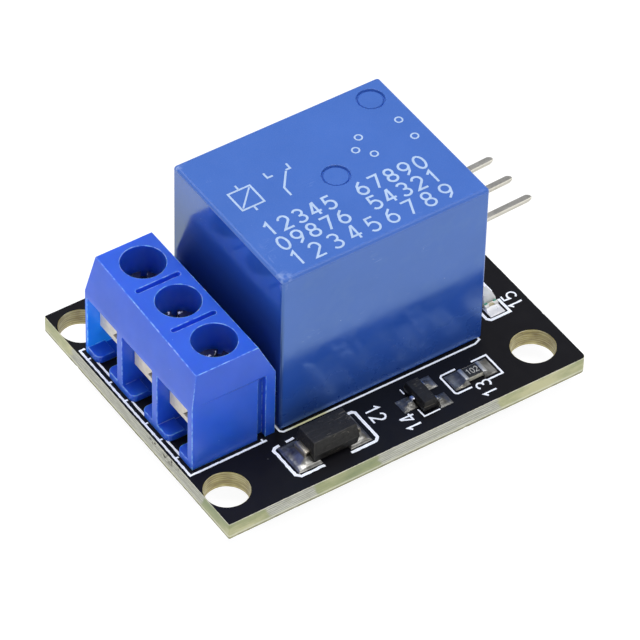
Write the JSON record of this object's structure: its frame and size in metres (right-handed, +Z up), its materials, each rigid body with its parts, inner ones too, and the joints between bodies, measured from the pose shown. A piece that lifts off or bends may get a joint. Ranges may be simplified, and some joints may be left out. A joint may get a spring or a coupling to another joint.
{
  "type": "relay module board",
  "caption": "Small black circuit board with a blue sealed relay, a blue three-way screw terminal block, a bent pin header and surface-mounted parts.",
  "frame": {"origin": "centre of the four mounting holes, on the board's underside", "axes": "+X along the board's length from the screw terminals to the pin header, +Y across the board away from the edge with the row of small parts, +Z up from the board's component side"},
  "size_m": [0.0395, 0.0269, 0.0193],
  "materials": {
    "board": "black solder mask over glass fibre laminate",
    "tinned_copper": "tinned",
    "solder": "bright solder",
    "terminal_plastic": "moulded, satin",
    "terminal_metal": "nickel plated brass",
    "screw_steel": "zinc plated steel",
    "relay_plastic": "moulded, glossy",
    "black_plastic": "moulded",
    "white_plastic": "moulded",
    "enamelled_wire": "enamelled copper wire",
    "iron": "zinc plated iron",
    "spring_alloy": "copper alloy strip",
    "contact_silver": "silver alloy",
    "moulding_compound": "moulded",
    "resistor_ceramic": "ceramic with a dark glazed top",
    "led_laminate": "laminate",
    "led_resin": "cast resin",
    "pin_metal": "plated square pin"
  },
  "bodies": {
    "module": {"board": "board", "diode_body": "moulding_compound", "diode_lead_1": "tinned_copper", "diode_lead_2": "tinned_copper", "header_body": "black_plastic", "header_pin_1": "pin_metal", "header_pin_2": "pin_metal", "header_pin_3": "pin_metal", "led_base": "led_laminate", "led_end_caps": "tinned_copper", "led_lens": "led_resin", "relay_base": "black_plastic", "relay_bobbin": "white_plastic", "relay_coil": "enamelled_wire", "relay_coil_pin_1": "spring_alloy", "relay_coil_pin_2": "spring_alloy", "relay_common_pin": "spring_alloy", "relay_core": "iron", "relay_cover": "relay_plastic", "relay_lower_contact": "contact_silver", "relay_lower_terminal": "spring_alloy", "relay_upper_contact": "contact_silver", "relay_upper_terminal": "spring_alloy", "relay_yoke": "iron", "resistor_1_body": "resistor_ceramic", "resistor_1_end_caps": "tinned_copper", "resistor_2_body": "resistor_ceramic", "resistor_2_end_caps": "tinned_copper", "solder_joints": "solder", "solder_pads": "tinned_copper", "surface_solder": "solder", "terminal_contact_1": "terminal_metal", "terminal_contact_2": "terminal_metal", "terminal_contact_3": "terminal_metal", "terminal_housing": "terminal_plastic", "transistor_body": "moulding_compound", "transistor_lead_1": "tinned_copper", "transistor_lead_2": "tinned_copper", "transistor_lead_3": "tinned_copper"},
    "screw_1": {"terminal_screw_1": "screw_steel"},
    "cage_1": {"clamp_cage_1": "terminal_metal"},
    "screw_2": {"terminal_screw_2": "screw_steel"},
    "cage_2": {"clamp_cage_2": "terminal_metal"},
    "screw_3": {"terminal_screw_3": "screw_steel"},
    "cage_3": {"clamp_cage_3": "terminal_metal"},
    "armature": {"relay_armature": "iron", "relay_contact_spring": "spring_alloy", "relay_moving_contact": "contact_silver", "relay_spring_rivets": "spring_alloy"}
  },
  "joints": [
    {"name": "screw_1_turn", "type": "hinge", "parent": "module", "child": "screw_1", "pos_m": [-0.01179, -0.00464, 0.0076], "axis": [0, 0, 1], "range_deg": [0, 1081]},
    {"name": "cage_1_slide", "type": "slide", "parent": "module", "child": "cage_1", "axis": [0, 0, 1], "range_m": [-0.0015, 0]},
    {"name": "screw_2_turn", "type": "hinge", "parent": "module", "child": "screw_2", "pos_m": [-0.01179, 0.00044, 0.0076], "axis": [0, 0, 1], "range_deg": [0, 1081]},
    {"name": "cage_2_slide", "type": "slide", "parent": "module", "child": "cage_2", "axis": [0, 0, 1], "range_m": [-0.0015, 0]},
    {"name": "screw_3_turn", "type": "hinge", "parent": "module", "child": "screw_3", "pos_m": [-0.01179, 0.00552, 0.0076], "axis": [0, 0, 1], "range_deg": [0, 1081]},
    {"name": "cage_3_slide", "type": "slide", "parent": "module", "child": "cage_3", "axis": [0, 0, 1], "range_m": [-0.0015, 0]},
    {"name": "armature_rock", "type": "hinge", "parent": "module", "child": "armature", "pos_m": [-0.00633, 0.00016, 0.01362], "axis": [0, 1, 0], "range_deg": [0, 3], "stiffness_Nm_per_rad": 0.02, "springref_deg": -2.86}
  ],
  "couplings": [
    {"joint": "screw_1_turn", "follows": "cage_1_slide", "rad_per_m": -12566},
    {"joint": "screw_2_turn", "follows": "cage_2_slide", "rad_per_m": -12566},
    {"joint": "screw_3_turn", "follows": "cage_3_slide", "rad_per_m": -12566}
  ]
}
